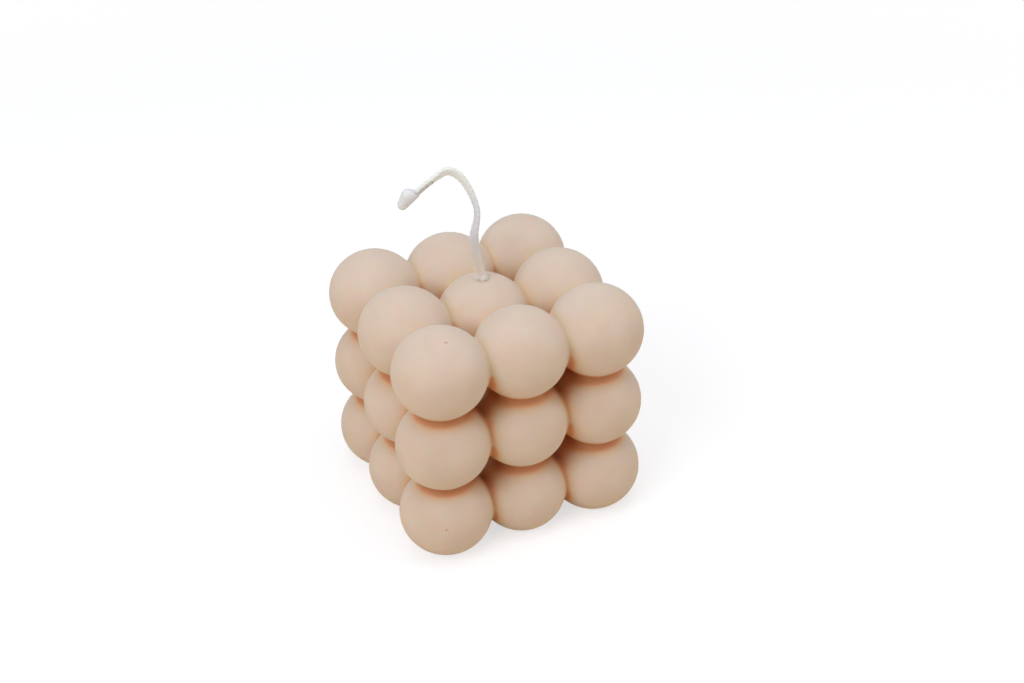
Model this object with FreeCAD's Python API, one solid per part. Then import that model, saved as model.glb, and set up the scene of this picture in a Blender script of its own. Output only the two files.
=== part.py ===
import FreeCAD, Part
import math
import os

# Bubble cube candle: three layers of three by three fused wax balls, cast in one piece,
# with a braided wick that runs from the base up through the wax and arches over the top.
# Millimetres, +Z up. The origin is the middle of the base.

# Wax balls
ball_diameter = 21.4
ball_pitch = 19.3          # between neighbouring balls in a layer, less than a ball, so that they fuse
layer_pitch = 18.85        # between layers, which settled a little before the wax set
foot_depth = 1.4           # what the flat foot takes off the bottom of each ball of the lowest layer
crown_sink = 1.8           # the crown, the top middle ball, shrank down round the wick as it cooled

# Heart of solid wax that closes the gaps between the balls
heart_inset = 3.0          # from the centre plane of the outer balls in to the heart's faces

# Wick and its place in the crown
wick_diameter = 2.0
dimple_width = 4.6         # shallow dish in the crown round the wick
dimple_depth = 0.3

# The drop of hardened wax that hangs on the wick's tip
drop_width = 2.8
drop_top_width = 2.7
drop_length = 5.3
drop_lean = 15.0           # degrees from upright, the top leaning back towards the candle

# Route of the wick, as points chosen by hand: (outwards, upwards, aside) from the top of the crown
wick_bearing = 154.2       # degrees from +X to the side that the wick leans out to
wick_route = [
    (0.0, -4.6, 0.0),
    (0.0, 0.2, 0.0),
    (2.0, 9.4, 0.0),
    (0.5, 15.6, -0.5),
    (1.1, 19.2, -0.9),
    (3.7, 25.1, -0.6),
    (6.8, 27.6, 0.2),
    (9.5, 26.0, 1.0),
    (12.9, 23.5, 1.7),
    (15.9, 20.6, 2.0),
]
drop_middle = (16.4, 21.3, 2.0)

arc_share = 0.45           # of the shorter run beside a bend, that the bend's arc takes up
steps = (-1, 0, 1)         # three balls each way, counted from the middle one

ball_radius = ball_diameter / 2
wick_radius = wick_diameter / 2
lowest_layer = ball_radius - foot_depth
middle_layer = lowest_layer + layer_pitch
crown_centre = middle_layer + layer_pitch - crown_sink
crown_top = crown_centre + ball_radius

up = FreeCAD.Vector(0, 0, 1)
base = FreeCAD.Vector(0, 0, 0)


def ball_centre(column, row, layer):
    """Centre of one ball, counted from the middle ball. Only the crown is out of the even grid."""
    if (column, row, layer) == (0, 0, 1):
        return FreeCAD.Vector(0, 0, crown_centre)
    return FreeCAD.Vector(column * ball_pitch, row * ball_pitch, middle_layer + layer * layer_pitch)


def wax_heart():
    """Block of solid wax inside the balls. It hides the middle ball and floors the gaps between four."""
    half = ball_pitch - heart_inset
    half_height = layer_pitch - heart_inset
    corner = FreeCAD.Vector(-half, -half, middle_layer - half_height)
    return Part.makeBox(2 * half, 2 * half, 2 * half_height, corner)


def wax_grid():
    """The outer balls of the cube, fused to each other and to the heart."""
    balls = [
        Part.makeSphere(ball_radius, ball_centre(column, row, layer))
        for column in steps
        for row in steps
        for layer in steps
        if (column, row, layer) != (0, 0, 0)
    ]
    return wax_heart().multiFuse(balls).removeSplitter()


def below_base():
    """Everything under the plane that the candle stands on."""
    reach = ball_pitch + ball_diameter
    corner = FreeCAD.Vector(-reach, -reach, -ball_diameter)
    return Part.makeBox(2 * reach, 2 * reach, ball_diameter, corner)


def crown_dimple():
    """Shallow dish that the wax drew down round the wick: a ball's cap as wide and deep as the dish."""
    chord = dimple_width / 2
    below_top = ball_radius - math.sqrt(ball_radius**2 - chord**2)
    cap = below_top + dimple_depth
    dish_radius = (chord**2 + dimple_depth**2) / (2 * dimple_depth)
    return Part.makeSphere(dish_radius, FreeCAD.Vector(0, 0, crown_top - cap + dish_radius))


def wax_body(wick_solid):
    """The cast wax: the fused balls with their flat feet, the dish in the crown and the wick's channel."""
    wax = wax_grid().cut(below_base()).cut(crown_dimple())
    return wax.cut(wick_solid)


def placed(outwards, upwards, aside):
    """A point of the wick's route, turned to the side that the wick leans out to."""
    bearing = math.radians(wick_bearing)
    x = outwards * math.cos(bearing) - aside * math.sin(bearing)
    y = outwards * math.sin(bearing) + aside * math.cos(bearing)
    return FreeCAD.Vector(x, y, crown_top + upwards)


def bend(before, corner, after):
    """Arc tangent to both runs at a corner of the route, as large as the shorter run allows."""
    into = (corner - before).normalize()
    out = (after - corner).normalize()
    half_turn = into.getAngle(out) / 2
    set_back = arc_share * min(corner.distanceToPoint(before), corner.distanceToPoint(after))
    radius = set_back / math.tan(half_turn)
    start = corner - into * set_back
    end = corner + out * set_back
    inside = (out - into).normalize()
    rise = radius / math.cos(half_turn) - radius
    return Part.Arc(start, corner + inside * rise, end), start, end, radius


def wick_line():
    """Centreline of the wick: straight up through the wax, then the route's runs and bends."""
    points = [placed(*point) for point in wick_route]
    edges = []
    radii = []
    reached = base
    for before, corner, after in zip(points, points[1:], points[2:]):
        arc, start, end, radius = bend(before, corner, after)
        edges.append(Part.LineSegment(reached, start).toShape())
        edges.append(arc.toShape())
        radii.append(round(radius, 1))
        reached = end
    edges.append(Part.LineSegment(reached, points[-1]).toShape())
    print("radii of the wick's bends:", radii)
    return Part.Wire(edges)


def wick():
    """The wick as one plain round tube of wax-soaked braid, from the base to its tip."""
    line = wick_line()
    section = Part.Wire(Part.makeCircle(wick_radius, base, up))
    tube = line.makePipeShell([section], True, False)
    expected = math.pi * wick_radius**2 * line.Length
    print("wick volume", round(tube.Volume, 2), "and its section times its length", round(expected, 2))
    return tube


def drop_profile():
    """Half outline of the drop, upright: round below, narrower and round on top, joined by a tangent."""
    low_radius = drop_width / 2
    high_radius = drop_top_width / 2
    low = FreeCAD.Vector(0, 0, low_radius - drop_length / 2)
    high = FreeCAD.Vector(0, 0, drop_length / 2 - high_radius)
    tilt = math.asin((low_radius - high_radius) / (high.z - low.z))
    side = FreeCAD.Vector(math.cos(tilt), 0, math.sin(tilt))
    below = FreeCAD.Vector(math.cos(math.pi / 4), 0, -math.sin(math.pi / 4))
    above = FreeCAD.Vector(math.cos(math.pi / 3), 0, math.sin(math.pi / 3))
    bottom = low - up * low_radius
    top = high + up * high_radius
    return Part.Wire([
        Part.Arc(bottom, low + below * low_radius, low + side * low_radius).toShape(),
        Part.makeLine(low + side * low_radius, high + side * high_radius),
        Part.Arc(high + side * high_radius, high + above * high_radius, top).toShape(),
        Part.makeLine(top, bottom),
    ])


def wick_tip_drop(wick_solid):
    """The hanging drop, with the socket that the wick's end fills."""
    drop = Part.Face(drop_profile()).revolve(base, up, 360)
    drop.rotate(base, FreeCAD.Vector(0, 1, 0), -drop_lean)
    drop.rotate(base, up, wick_bearing)
    drop.translate(placed(*drop_middle))
    return drop.cut(wick_solid)


wick_piece = wick()
parts = {
    "wax_body": wax_body(wick_piece),
    "wick": wick_piece,
    "wick_tip_drop": wick_tip_drop(wick_piece),
}

os.makedirs("parts", exist_ok=True)
for name, shape in parts.items():
    shape.exportStep(f"parts/{name}.step")
    print(name, len(shape.Solids), "solid", "valid" if shape.isValid() else "NOT VALID", round(shape.Volume, 1), "mm3")
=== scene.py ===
# Bubble cube candle: cast wax balls and a waxed cotton wick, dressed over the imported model.
# Metres, +Z up, the origin in the middle of the base.
import bpy
import math
import numpy
from mathutils import Matrix, Vector


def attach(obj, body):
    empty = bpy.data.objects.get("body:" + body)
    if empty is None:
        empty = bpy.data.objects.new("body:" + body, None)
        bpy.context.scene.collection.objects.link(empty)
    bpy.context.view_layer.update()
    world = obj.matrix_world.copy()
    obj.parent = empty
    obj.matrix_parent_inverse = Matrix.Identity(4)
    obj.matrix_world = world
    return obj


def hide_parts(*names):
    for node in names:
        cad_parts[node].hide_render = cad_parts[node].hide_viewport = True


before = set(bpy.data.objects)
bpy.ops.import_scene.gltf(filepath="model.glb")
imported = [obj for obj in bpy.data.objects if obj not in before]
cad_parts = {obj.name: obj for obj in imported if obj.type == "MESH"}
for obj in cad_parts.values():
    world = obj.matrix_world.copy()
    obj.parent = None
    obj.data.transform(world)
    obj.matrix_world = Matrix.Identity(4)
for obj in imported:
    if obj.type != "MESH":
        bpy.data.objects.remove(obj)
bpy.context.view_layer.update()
bpy.ops.object.select_all(action="DESELECT")
mm = 0.001
nearEnough = 0.001 * mm     # a point this close to a plane lies on it
up = Vector((0, 0, 1))
print("stage: frame loaded")


# Shared steps

def selectOnly(*items):
    bpy.ops.object.select_all(action="DESELECT")
    for item in items:
        item.select_set(True)
    bpy.context.view_layer.objects.active = items[0]


def applyModifier(item, kind, **values):
    modifier = item.modifiers.new(kind.title(), kind)
    for key, value in values.items():
        setattr(modifier, key, value)
    selectOnly(item)
    bpy.ops.object.modifier_apply(modifier=modifier.name)


def joined(items, name):
    selectOnly(*items)
    bpy.ops.object.join()
    whole = bpy.context.view_layer.objects.active
    bpy.ops.object.transform_apply(location=True, rotation=True, scale=True)
    whole.name = name
    whole.data.name = name
    return whole


def fused(item, grain, smoothing):
    # one closed skin over all that overlaps, with its edges softened
    applyModifier(item, "REMESH", mode="VOXEL", voxel_size=grain)
    applyModifier(item, "SMOOTH", iterations=smoothing)


def smoothShaded(item):
    selectOnly(item)
    bpy.ops.object.shade_smooth()


def cutAtBase(item):
    selectOnly(item)
    bpy.ops.object.mode_set(mode="EDIT")
    bpy.ops.mesh.select_all(action="SELECT")
    bpy.ops.mesh.bisect(plane_co=(0, 0, 0), plane_no=up, use_fill=True, clear_inner=True,
                        threshold=nearEnough)
    bpy.ops.object.mode_set(mode="OBJECT")


def cutAway(item, tool):
    applyModifier(item, "BOOLEAN", object=tool, operation="DIFFERENCE", solver="MANIFOLD")
    bpy.data.objects.remove(tool)


def addNode(tree, kind, inputs=None, **settings):
    node = tree.nodes.new(kind)
    for key, value in settings.items():
        setattr(node, key, value)
    for key, value in (inputs or {}).items():
        node.inputs[key].default_value = value
    return node


def newMaterial(name, shaderInputs):
    material = bpy.data.materials.new(name)
    material.use_nodes = True
    shader = material.node_tree.nodes["Principled BSDF"]
    for key, value in shaderInputs.items():
        shader.inputs[key].default_value = value
    return material, material.node_tree, shader


def connect(tree, *links):
    for source, output, target, socket in links:
        tree.links.new(source.outputs[output], target.inputs[socket])


def addRamp(tree, stops):
    ramp = addNode(tree, "ShaderNodeValToRGB")
    places = ramp.color_ramp.elements
    while len(places) < len(stops):
        places.new(1.0)
    for element, (place, tone) in zip(places, stops):
        element.position = place
        element.color = tone
    return ramp


# Camera, at the photograph's viewing angle

camera = {
    "place": (-123.45 * mm, -277.21 * mm, 230.45 * mm),
    "lens": 53.79,
    "turn": -25.25,     # degrees from +Y, to the right
    "tilt": 57.67,      # degrees up from straight down
    "roll": -0.967,
    "sensor": 36,       # width, in mm as the lens
    "nearest": 10 * mm,
}


def addCamera():
    bpy.ops.object.camera_add(location=camera["place"])
    view = bpy.context.active_object
    turn = Matrix.Rotation(math.radians(camera["turn"]), 3, "Z")
    tilt = Matrix.Rotation(math.radians(camera["tilt"]), 3, "X")
    roll = Matrix.Rotation(math.radians(camera["roll"]), 3, "Z")
    view.rotation_euler = (turn @ tilt @ roll).to_euler()
    view.data.lens = camera["lens"]
    view.data.sensor_width = camera["sensor"]
    view.data.clip_start = camera["nearest"]
    bpy.context.scene.camera = view


addCamera()
print("stage: camera")


# Wick: a flat five-strand braid soaked in wax, straight through the candle and then free

wick = {
    "crownTop": 55.9 * mm,
    "bearing": 154.2,           # degrees from +X to the side that it leans out to
    "route": [                  # outwards, upwards and aside from the top of the crown, in mm
        (0.0, -4.6, 0.0),
        (0.0, 0.2, 0.0),
        (2.0, 9.4, 0.0),
        (0.5, 15.6, -0.5),
        (1.1, 19.2, -0.9),
        (3.7, 25.1, -0.6),
        (6.8, 27.6, 0.2),
        (9.5, 26.0, 1.0),
        (12.9, 23.5, 1.7),
        (15.9, 20.6, 2.0),
    ],
    "smoothness": 24,           # steps of the curve between two points
    "strands": 5,
    "strandRadius": 0.45 * mm,
    "strandDetail": 3,          # steps in a quarter of its roundness
    "swing": 0.77 * mm,         # of a strand across the braid
    "weave": 0.12 * mm,         # of a strand through its thickness
    "repeat": 6.4 * mm,         # length of braid in which a strand crosses over and back
    "twist": [                  # share of the free length, and the flat side's degrees from the view
        (0.0, 20), (0.19, 29), (0.31, 20), (0.37, 47), (0.43, 65), (0.5, 70),
        (0.56, 65), (0.62, 57), (0.72, 49), (0.78, 57), (0.83, 73), (1.0, 68),
    ],
    "flare": 0.42,              # how much wider the wax makes it where it leaves the crown
    "flareLength": 1.6 * mm,
    "splay": 0.3 * mm,          # how far its foot spreads to the front and back in the wax
    "splayHeight": 0.9 * mm,
    "gathered": 0.35,           # share of its width that is left in the drop's wax
    "gatherLength": 6.5 * mm,
    "coat": 0.12 * mm,          # size of the wax's detail
    "coatSmoothing": 12,
    "facing": (-0.36, -0.764, 0.535),   # side that the flat of the braid is turned from
    "sunkSteps": 200,           # of the straight line through the candle
    "sunkBelow": 1 * mm,        # how far that starts under the base, before it is cut flush
}


def placed(outwards, upwards, aside):
    bearing = math.radians(wick["bearing"])
    x = outwards * math.cos(bearing) - aside * math.sin(bearing)
    y = outwards * math.sin(bearing) + aside * math.cos(bearing)
    return Vector((x * mm, y * mm, wick["crownTop"] + upwards * mm))


def lineLength(points):
    return sum((after - before).length for before, after in zip(points, points[1:]))


def routeLine(points):
    data = bpy.data.curves.new("wickRoute", "CURVE")
    data.dimensions = "3D"
    data.resolution_u = wick["smoothness"]
    spline = data.splines.new("NURBS")
    spline.points.add(len(points) - 1)
    for spot, point in zip(spline.points, points):
        spot.co = (*point, 1)
    spline.order_u = 3
    spline.use_endpoint_u = True
    route = bpy.data.objects.new("wickRoute", data)
    line = bpy.data.meshes.new_from_object(route)
    centres = [vertex.co.copy() for vertex in line.vertices]
    bpy.data.meshes.remove(line)
    bpy.data.objects.remove(route)
    bpy.data.curves.remove(data)
    return centres


def keyed(keys, share):
    # eased from one key to the next
    for (before, low), (after, high) in zip(keys, keys[1:]):
        if share <= after:
            along = (share - before) / (after - before)
            return low + (high - low) * along * along * (3 - 2 * along)
    return keys[-1][1]


def strandPoints(centres, number, flared):
    # one strand's centreline and thickness, woven about the line of the braid
    total = lineLength(centres)
    facing = Vector(wick["facing"])
    done = 0
    spots = []
    for index, centre in enumerate(centres):
        before = centres[max(index - 1, 0)]
        after = centres[min(index + 1, len(centres) - 1)]
        along = (after - before).normalized()
        done += (centre - before).length
        across = along.cross(facing).normalized()
        through = across.cross(along)
        turn = math.radians(keyed(wick["twist"], done / total if flared else 0))
        wide = across * math.cos(turn) + through * math.sin(turn)
        thick = through * math.cos(turn) - across * math.sin(turn)
        phase = 2 * math.pi * (done / wick["repeat"] + number / wick["strands"])
        above = centre.z - wick["crownTop"]
        swell = 1 + wick["flare"] * math.exp(-max(above, 0) / wick["flareLength"]) if flared else 1
        swing = wick["swing"] * swell
        weave = wick["weave"] * swell
        if flared:
            weave += wick["splay"] * math.exp(-max(above, 0) / wick["splayHeight"])
            free = min((total - done) / wick["gatherLength"], 1)
            swing *= wick["gathered"] + (1 - wick["gathered"]) * free
        spot = centre + wide * swing * math.sin(phase) + thick * weave * math.sin(2 * phase)
        spots.append((spot, swell))
    return spots


def addBraid(name, centres, flared):
    strands = []
    for number in range(wick["strands"]):
        data = bpy.data.curves.new(name, "CURVE")
        data.dimensions = "3D"
        data.bevel_depth = wick["strandRadius"]
        data.bevel_resolution = wick["strandDetail"]
        data.use_fill_caps = True
        spots = strandPoints(centres, number, flared)
        spline = data.splines.new("POLY")
        spline.points.add(len(spots) - 1)
        for point, (place, swell) in zip(spline.points, spots):
            point.co = (*place, 1)
            point.radius = swell
        strand = bpy.data.objects.new(name, data)
        bpy.context.scene.collection.objects.link(strand)
        selectOnly(strand)
        bpy.ops.object.convert(target="MESH")
        strands.append(bpy.context.view_layer.objects.active)
    braid = joined(strands, name)
    fused(braid, wick["coat"], wick["coatSmoothing"])
    smoothShaded(braid)
    return braid


freeLine = routeLine([placed(*point) for point in wick["route"]])
sunkTop = freeLine[0].z
sunkSteps = wick["sunkSteps"]
sunkLine = [up * (sunkTop * step / sunkSteps - wick["sunkBelow"]) for step in range(sunkSteps + 1)]
wickFree = addBraid("wickFree", freeLine, True)
wickSunk = addBraid("wickSunk", sunkLine, False)
cutAtBase(wickSunk)


# Drop: white wax that ran down the wick's tip and set there

drop = {
    "corners": [                # outwards, upwards, aside and radius in mm: foot, hump and neck
        (17.0, 19.88, 2.0, 1.2),
        (15.7, 22.18, 2.0, 1.53),
        (13.85, 22.25, 1.8, 0.75),
    ],
    "tail": 4.5 * mm,           # of wick that the wax thickens behind the neck
    "tailRadius": 0.66 * mm,
    "beads": 8,                 # along each side of the three-cornered shape
    "beadDetail": 16,           # rings of a bead
    "grain": 0.1 * mm,
    "smoothing": 8,
}


def addBead(place, radius):
    rings = drop["beadDetail"]
    bpy.ops.mesh.primitive_uv_sphere_add(segments=2 * rings, ring_count=rings, radius=radius,
                                         location=place)
    return bpy.context.active_object


def addDrop():
    corners = [(placed(*corner[:3]), corner[3] * mm) for corner in drop["corners"]]
    neck, neckRadius = corners[-1]
    count = drop["beads"]
    beads = []
    for toHump in range(count + 1):
        for toNeck in range(count + 1 - toHump):
            shares = (count - toHump - toNeck) / count, toHump / count, toNeck / count
            place = sum((corner[0] * share for corner, share in zip(corners, shares)), Vector())
            radius = sum(corner[1] * share for corner, share in zip(corners, shares))
            beads.append(addBead(place, radius))
    fromTip = list(reversed(freeLine))
    joint = min(range(len(fromTip)), key=lambda index: (fromTip[index] - neck).length)
    beads += [addBead(place, neckRadius) for place in fromTip[:joint]]
    reached = 0
    for before, after in zip(fromTip[joint:], fromTip[joint + 1:]):
        reached += (after - before).length
        if reached > drop["tail"]:
            break
        share = reached / drop["tail"]
        beads.append(addBead(after, neckRadius + (drop["tailRadius"] - neckRadius) * share))
    whole = joined(beads, "tipDrop")
    fused(whole, drop["grain"], drop["smoothing"])
    smoothShaded(whole)
    return whole


tipDrop = addDrop()
print("stage: drop")


# Wax: three layers of three by three balls, a little squashed, fused round a solid heart

wax = {
    "ballWidth": 21.4 * mm,
    "ballHeight": 20.54 * mm,
    "crownHeight": 19.47 * mm,
    "ballDetail": 6,
    "pitch": 19.3 * mm,
    "layers": (9.3 * mm, 28.15 * mm, 47.0 * mm),
    "crownCentre": 45.93 * mm,
    "edgeSag": 0.17 * mm,           # the middles of the top's sides
    "heartInset": 3.0 * mm,
    "grain": 0.62 * mm,             # width of a face of the fused skin
    "creaseSmoothing": 16,
    "smoothingLoss": 0.14 * mm,     # what the smoothing takes off the balls, given back
    "dimpleWidth": 4.6 * mm,
    "dimpleDepth": 0.35 * mm,
    "channel": 0.7 * mm,            # radius, less than the wick's, which fills it
    "channelSides": 48,
    "channelLength": 1.2,           # of the crown's height, so that it comes out at both ends
    "channelMiddle": 0.45,          # of that length, above the base
    "pits": [                       # tiny holes in the front corner's balls: place and radius in mm
        ((-18.94, -23.05, 56.72), 0.36),
        ((-23.34, -29.08, 11.38), 0.32),
    ],
    "pitDetail": 3,
    "pitShade": 0.42,                # painted shade in and round them: how strong, and how far round
    "pitShadeReach": 0.15 * mm,
    "uneven": {                     # balls off the grid: shift right, back and up in mm, and growth
        (0, -1, 1): (0.14, -0.07, 0, 1),
        (-1, 0, 1): (-0.19, 0.09, 0, 1),
        (1, 0, 1): (0.19, -0.09, 0.16, 1),
        (0, 1, 1): (0, 0, -0.2, 1),
        (1, -1, 1): (-0.14, 0.07, 0.2, 1.02),
        (1, -1, -1): (-0.31, 0.15, 0, 1.028),
        (0, -1, -1): (0, 0, -0.3, 0.97),
        (-1, 1, -1): (0.45, -0.22, 0, 1.04),
    },
    "creaseShadeReach": 2.5 * mm,        # how far a neighbouring ball's painted shade and warmth reach
    "shelfShade": 0.5,              # how much deeper the painted shade is in the creases beneath a ball
    "underShade": 0.3,              # and those on a ball's underside
    "underSlope": 0.3,              # how far a surface leans over before it has all of that
    "openFrom": (44 * mm, 50 * mm),     # heights between which the painted crease shade lightens, as the creases open to the sky
    "openness": 0.24,
    "deepest": 1.5,                 # the sum on the floor between four balls, which is marked 1
    "footRing": 0.6,                    # warmer ring round the wick's foot, through the same tones as the painted crease shade
    "footRingMiddle": (-0.34 * mm, -0.72 * mm),
    "footRingReach": 1.8 * mm,
}
steps = (-1, 0, 1)
cells = [(column, row, layer) for column in steps for row in steps for layer in steps]
crownCell = (0, 0, 1)


def ballCentre(column, row, layer):
    centre = Vector((column * wax["pitch"], row * wax["pitch"], wax["layers"][layer + 1]))
    if (column, row, layer) == crownCell:
        centre.z = wax["crownCentre"]
    elif layer == 1 and 0 in (column, row):
        centre.z -= wax["edgeSag"]
    *shift, growth = wax["uneven"].get((column, row, layer), (0, 0, 0, 1))
    return centre + Vector(shift) * mm, growth


def addBall(column, row, layer):
    height = wax["crownHeight"] if (column, row, layer) == crownCell else wax["ballHeight"]
    centre, growth = ballCentre(column, row, layer)
    radius = wax["ballWidth"] / 2 * growth
    bpy.ops.mesh.primitive_ico_sphere_add(subdivisions=wax["ballDetail"], radius=radius, location=centre)
    ball = bpy.context.active_object
    ball.scale.z = height / wax["ballWidth"]
    return ball


def addHeart():
    half = wax["pitch"] - wax["heartInset"]
    rise = wax["layers"][1] - wax["layers"][0] - wax["heartInset"]
    bpy.ops.mesh.primitive_cube_add(size=2, location=(0, 0, wax["layers"][1]))
    heart = bpy.context.active_object
    heart.scale = (half, half, rise)
    return heart


def perPoint(whole, value):
    values = numpy.empty(len(whole.data.vertices) * 3)
    whole.data.vertices.foreach_get(value, values)
    return values.reshape(-1, 3)


def paintCreaseShade(whole):
    # painted shade: how deep each point lies beside and beneath its neighbouring balls, which the finish
    # turns into darker, warmer wax in the creases
    places = perPoint(whole, "co")
    downward = numpy.clip(-perPoint(whole, "normal")[:, 2] / wax["underSlope"], 0, 1)
    gaps = []
    rises = []
    for cell in cells:
        centre, growth = ballCentre(*cell)
        toCentre = numpy.array(centre) - places
        away = numpy.linalg.norm(toCentre, axis=1)
        gaps.append(numpy.abs(away - wax["ballWidth"] / 2 * growth))
        rises.append(toCentre[:, 2] / away)
    gaps = numpy.array(gaps)
    order = numpy.argsort(gaps, axis=0)[1:]     # the nearest ball is the point's own
    nearness = numpy.exp(-numpy.take_along_axis(gaps, order, axis=0) / wax["creaseShadeReach"])
    rises = numpy.clip(numpy.take_along_axis(numpy.array(rises), order, axis=0), 0, 1)
    # painted shade: deeper beside neighbouring balls, deeper still beneath them and on undersides,
    # lighter towards the top where the creases open
    depth = (nearness * (1 + wax["shelfShade"] * rises)).sum(axis=0)
    depth *= 1 + wax["underShade"] * downward
    low, high = wax["openFrom"]
    depth *= 1 - wax["openness"] * numpy.clip((places[:, 2] - low) / (high - low), 0, 1)
    middle = wax["footRingMiddle"]
    fromFoot = numpy.hypot(places[:, 0] - middle[0], places[:, 1] - middle[1])
    depth += wax["footRing"] * numpy.exp(-(fromFoot / wax["footRingReach"]) ** 4) * (places[:, 2] > low)
    # painted shade in and round each pit
    for place, radius in wax["pits"]:
        fromPit = numpy.linalg.norm(places - numpy.array(place) * mm, axis=1) - radius * mm
        depth += wax["pitShade"] * numpy.exp(-(numpy.clip(fromPit, 0, None) / wax["pitShadeReach"]) ** 2)
    attribute = whole.data.attributes.new("creaseShade", "FLOAT", "POINT")
    attribute.data.foreach_set("value", (depth / wax["deepest"]).astype(numpy.float32))


def sinkDimple(whole):
    # the wax drew down round the wick as it cooled
    crown = Vector((0, 0, wax["crownCentre"] + wax["crownHeight"] / 2))
    places = [vertex.co.copy() for vertex in whole.data.vertices]
    nearest = min(range(len(places)), key=lambda index: (places[index] - crown).length)
    selectOnly(whole)
    bpy.ops.object.mode_set(mode="EDIT")
    bpy.ops.mesh.select_all(action="DESELECT")
    bpy.ops.object.mode_set(mode="OBJECT")
    whole.data.vertices[nearest].select = True
    bpy.ops.object.mode_set(mode="EDIT")
    bpy.ops.transform.translate(value=(0, 0, -wax["dimpleDepth"]), use_proportional_edit=True,
                                proportional_edit_falloff="SMOOTH",
                                proportional_size=wax["dimpleWidth"] / 2)
    bpy.ops.object.mode_set(mode="OBJECT")


def cutChannel(whole):
    tall = wick["crownTop"] * wax["channelLength"]
    middle = (0, 0, tall * wax["channelMiddle"])
    bpy.ops.mesh.primitive_cylinder_add(vertices=wax["channelSides"], radius=wax["channel"], depth=tall,
                                        location=middle)
    cutAway(whole, bpy.context.active_object)


def cutPits(whole):
    for place, radius in wax["pits"]:
        bpy.ops.mesh.primitive_ico_sphere_add(subdivisions=wax["pitDetail"], radius=radius * mm,
                                              location=Vector(place) * mm)
        cutAway(whole, bpy.context.active_object)


def addWax():
    balls = [addBall(*cell) for cell in cells]
    whole = joined([*balls, addHeart()], "waxBody")
    fused(whole, wax["grain"], wax["creaseSmoothing"])
    applyModifier(whole, "DISPLACE", strength=wax["smoothingLoss"], mid_level=0)
    cutAtBase(whole)
    sinkDimple(whole)
    cutChannel(whole)
    cutPits(whole)
    paintCreaseShade(whole)
    smoothShaded(whole)
    return whole


waxBody = addWax()
print("stage: wax,", len(waxBody.data.polygons), "faces")


# Finishes

waxLook = {
    "clouds": [             # faint patches, deeper and paler
        (0.3, (0.705, 0.565, 0.465, 1)),
        (0.7, (0.735, 0.605, 0.515, 1)),
    ],
    "cloudScale": 140,
    "creaseShadeTones": [        # painted shade: each tone's place on the crease shade mark, and how much it darkens and warms the wax
        (0.22, (1.0, 1.0, 1.0, 1)),
        (0.3, (1.0, 0.98, 0.92, 1)),
        (0.37, (1.0, 0.95, 0.82, 1)),
        (0.43, (1.0, 0.88, 0.71, 1)),
        (0.49, (1.0, 0.76, 0.55, 1)),
        (0.57, (0.92, 0.56, 0.33, 1)),
        (0.68, (0.86, 0.45, 0.24, 1)),
        (0.9, (0.8, 0.39, 0.19, 1)),
    ],
    "seeInto": 2.0 * mm,    # how far red light wanders in the wax
    "grainScale": 900,
    "grainDepth": 0.1 * mm,
    "grainStrength": 0.12,
}


def waxFinish():
    material, tree, shader = newMaterial("blushWax", {
        "Roughness": 0.55,
        "Specular IOR Level": 0.35,
        "Subsurface Weight": 1.0,
        "Subsurface Radius": (1.0, 0.4, 0.2),
        "Subsurface Scale": waxLook["seeInto"],
    })
    place = addNode(tree, "ShaderNodeTexCoord")
    cloud = addNode(tree, "ShaderNodeTexNoise", {
        "Scale": waxLook["cloudScale"], "Detail": 3, "Roughness": 0.5})
    tone = addRamp(tree, waxLook["clouds"])
    depth = addNode(tree, "ShaderNodeAttribute", attribute_name="creaseShade")
    shadeTint = addRamp(tree, waxLook["creaseShadeTones"])
    # painted shade: the wax's colour times the crease shade's tint
    shadedWax = addNode(tree, "ShaderNodeMix", {"Factor": 1.0}, data_type="RGBA", blend_type="MULTIPLY")
    grain = addNode(tree, "ShaderNodeTexNoise", {
        "Scale": waxLook["grainScale"], "Detail": 4, "Roughness": 0.6})
    bump = addNode(tree, "ShaderNodeBump", {
        "Strength": waxLook["grainStrength"], "Distance": waxLook["grainDepth"]})
    connect(
        tree,
        (place, "Object", cloud, "Vector"),
        (place, "Object", grain, "Vector"),
        (cloud, "Fac", tone, "Fac"),
        (depth, "Fac", shadeTint, "Fac"),
        (tone, "Color", shadedWax, "A"),
        (shadeTint, "Color", shadedWax, "B"),
        (shadedWax, "Result", shader, "Base Color"),
        (grain, "Fac", bump, "Height"),
        (bump, "Normal", shader, "Normal"),
    )
    return material


wickLook = {
    "heights": (56 * mm, 84 * mm),  # from the crown to the top of the arch
    "tones": [                      # wax from the candle tints the lower end
        (0.0, (0.78, 0.73, 0.7, 1)),
        (0.07, (0.76, 0.685, 0.6, 1)),
        (0.38, (0.69, 0.685, 0.72, 1)),
        (0.6, (0.74, 0.765, 0.84, 1)),
        (0.8, (0.83, 0.88, 0.98, 1)),
        (1.0, (0.88, 0.93, 1.0, 1)),
    ],
    "seeInto": 1.0 * mm,
}


def wickFinish():
    material, tree, shader = newMaterial("waxedCotton", {
        "Roughness": 0.6,
        "Specular IOR Level": 0.25,
        "Subsurface Weight": 1.0,
        "Subsurface Radius": (1.0, 1.0, 1.0),
        "Subsurface Scale": wickLook["seeInto"],
    })
    place = addNode(tree, "ShaderNodeTexCoord")
    split = addNode(tree, "ShaderNodeSeparateXYZ")
    low, high = wickLook["heights"]
    height = addNode(tree, "ShaderNodeMapRange", {"From Min": low, "From Max": high})
    tone = addRamp(tree, wickLook["tones"])
    connect(
        tree,
        (place, "Object", split, "Vector"),
        (split, "Z", height, "Value"),
        (height, "Result", tone, "Fac"),
        (tone, "Color", shader, "Base Color"),
    )
    return material


dropLook = {
    "tone": (0.75, 0.765, 0.81, 1),
    "seeInto": 2.5 * mm,
    "grainScale": 700,
    "grainDepth": 0.1 * mm,
    "grainStrength": 0.1,
}


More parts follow.
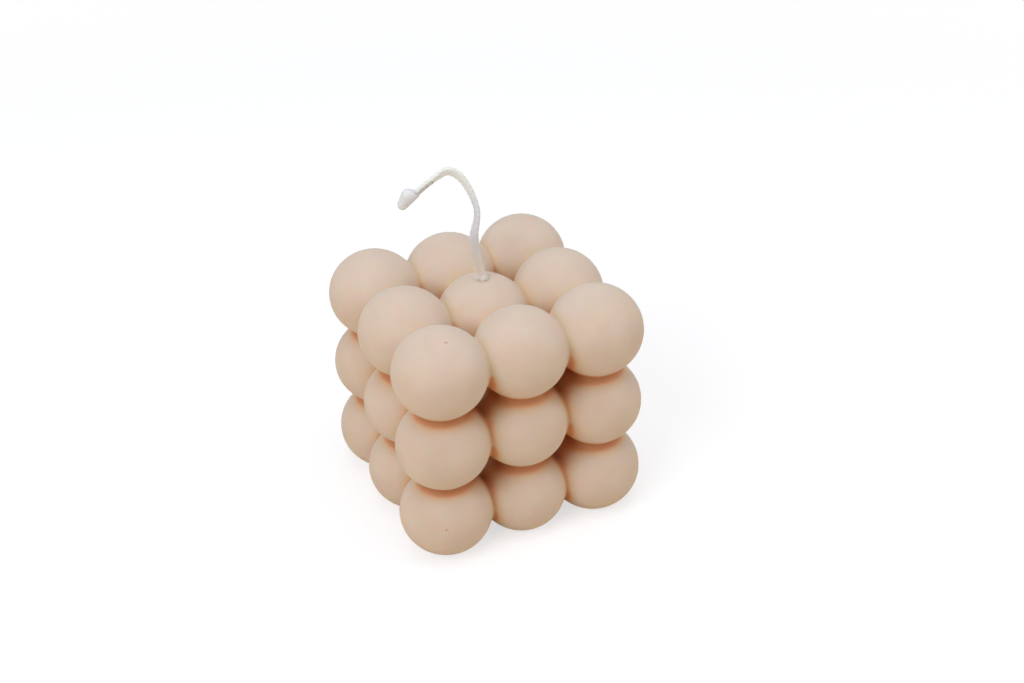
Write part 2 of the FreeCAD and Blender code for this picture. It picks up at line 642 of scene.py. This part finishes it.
def dropFinish():
    material, tree, shader = newMaterial("whiteWax", {
        "Base Color": dropLook["tone"],
        "Roughness": 0.5,
        "Specular IOR Level": 0.3,
        "Subsurface Weight": 1.0,
        "Subsurface Radius": (1.0, 1.0, 1.0),
        "Subsurface Scale": dropLook["seeInto"],
    })
    place = addNode(tree, "ShaderNodeTexCoord")
    grain = addNode(tree, "ShaderNodeTexNoise", {"Scale": dropLook["grainScale"], "Detail": 2})
    bump = addNode(tree, "ShaderNodeBump", {
        "Strength": dropLook["grainStrength"], "Distance": dropLook["grainDepth"]})
    connect(
        tree,
        (place, "Object", grain, "Vector"),
        (grain, "Fac", bump, "Height"),
        (bump, "Normal", shader, "Normal"),
    )
    return material


cotton = wickFinish()
for item, finish in (
    (waxBody, waxFinish()),
    (wickFree, cotton),
    (wickSunk, cotton),
    (tipDrop, dropFinish()),
):
    item.data.materials.clear()
    item.data.materials.append(finish)
print("stage: finishes")


# What each piece stands for

for item, node, slot in (
    (waxBody, "wax_body", "wax"),
    (wickFree, "wick", "wick_cotton"),
    (wickSunk, "wick", "wick_cotton"),
    (tipDrop, "wick_tip_drop", "wick_wax"),
):
    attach(item, "root")
    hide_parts(node)


# Floor, light and background

room = {
    "floorSize": 3,
    "bounceTone": (0.83, 0.7, 0.52, 1),     # what the floor gives back to the candle
    "shadedTone": (0.45, 0.45, 0.47, 1),    # and what it shows of the candle's shadow
    "glow": 0.64,
    "shadowReach": (0.2, 0.42),     # from where to where the shadow fades into the white
    "world": 0.37,
    "aim": (0, 0, 30 * mm),
    "lamps": [                      # place, power in watts, size and colour
        ((-0.6, -0.3, 0.6), 3.0, 0.5, (1, 1, 1)),
        ((0, 0, 0.9), 2.2, 0.6, (0.89, 0.97, 1)),
        ((0.7, -0.4, 0.5), 1.5, 0.5, (1, 0.94, 0.86)),
    ],
}


def addFloor():
    # the camera sees white with a soft shadow, and the candle is lit by a pale floor
    bpy.ops.mesh.primitive_plane_add(size=room["floorSize"])
    floor = bpy.context.active_object
    floor.name = "floor"
    material, tree, bounce = newMaterial("paleFloor", {
        "Base Color": room["bounceTone"], "Roughness": 1.0, "Specular IOR Level": 0.0})
    rays = addNode(tree, "ShaderNodeLightPath")
    place = addNode(tree, "ShaderNodeTexCoord")
    away = addNode(tree, "ShaderNodeVectorMath", operation="LENGTH")
    near, far = room["shadowReach"]
    fade = addNode(tree, "ShaderNodeMapRange", {"From Min": near, "From Max": far},
                   interpolation_type="SMOOTHSTEP")
    shaded = addNode(tree, "ShaderNodeBsdfDiffuse", {"Color": room["shadedTone"]})
    glow = addNode(tree, "ShaderNodeEmission", {"Strength": room["glow"]})
    white = addNode(tree, "ShaderNodeEmission", {"Strength": 1.0})
    both = addNode(tree, "ShaderNodeAddShader")
    seen = addNode(tree, "ShaderNodeMixShader")
    byRay = addNode(tree, "ShaderNodeMixShader")
    out = tree.nodes["Material Output"]
    connect(
        tree,
        (place, "Object", away, 0),
        (away, "Value", fade, "Value"),
        (shaded, "BSDF", both, 0),
        (glow, "Emission", both, 1),
        (fade, "Result", seen, "Fac"),
        (both, "Shader", seen, 1),
        (white, "Emission", seen, 2),
        (rays, "Is Camera Ray", byRay, "Fac"),
        (bounce, "BSDF", byRay, 1),
        (seen, "Shader", byRay, 2),
        (byRay, "Shader", out, "Surface"),
    )
    material.cycles.emission_sampling = "NONE"
    floor.data.materials.append(material)


def lightWorld():
    # white to whatever looks straight at it, and dimmer as a light on the candle
    world = bpy.data.worlds.new("studio")
    bpy.context.scene.world = world
    world.use_nodes = True
    tree = world.node_tree
    background = tree.nodes["Background"]
    background.inputs["Color"].default_value = (1, 1, 1, 1)
    rays = addNode(tree, "ShaderNodeLightPath")
    seen = addNode(tree, "ShaderNodeMath", operation="MAXIMUM")
    seenThrough = addNode(tree, "ShaderNodeMath", operation="MAXIMUM")
    strength = addNode(tree, "ShaderNodeMapRange", {"To Min": room["world"], "To Max": 1})
    connect(
        tree,
        (rays, "Is Camera Ray", seen, 0),
        (rays, "Is Glossy Ray", seen, 1),
        (seen, "Value", seenThrough, 0),
        (rays, "Is Transmission Ray", seenThrough, 1),
        (seenThrough, "Value", strength, "Value"),
        (strength, "Result", background, "Strength"),
    )


def addLamp(place, power, size, tone):
    place = Vector(place)
    bpy.ops.object.light_add(type="AREA", location=place)
    lamp = bpy.context.active_object
    lamp.data.energy = power
    lamp.data.size = size
    lamp.data.color = tone
    lamp.rotation_euler = (place - Vector(room["aim"])).to_track_quat("Z", "Y").to_euler()


addFloor()
lightWorld()
for lamp in room["lamps"]:
    addLamp(*lamp)
bpy.context.scene.view_settings.view_transform = "Standard"
print("stage: room")
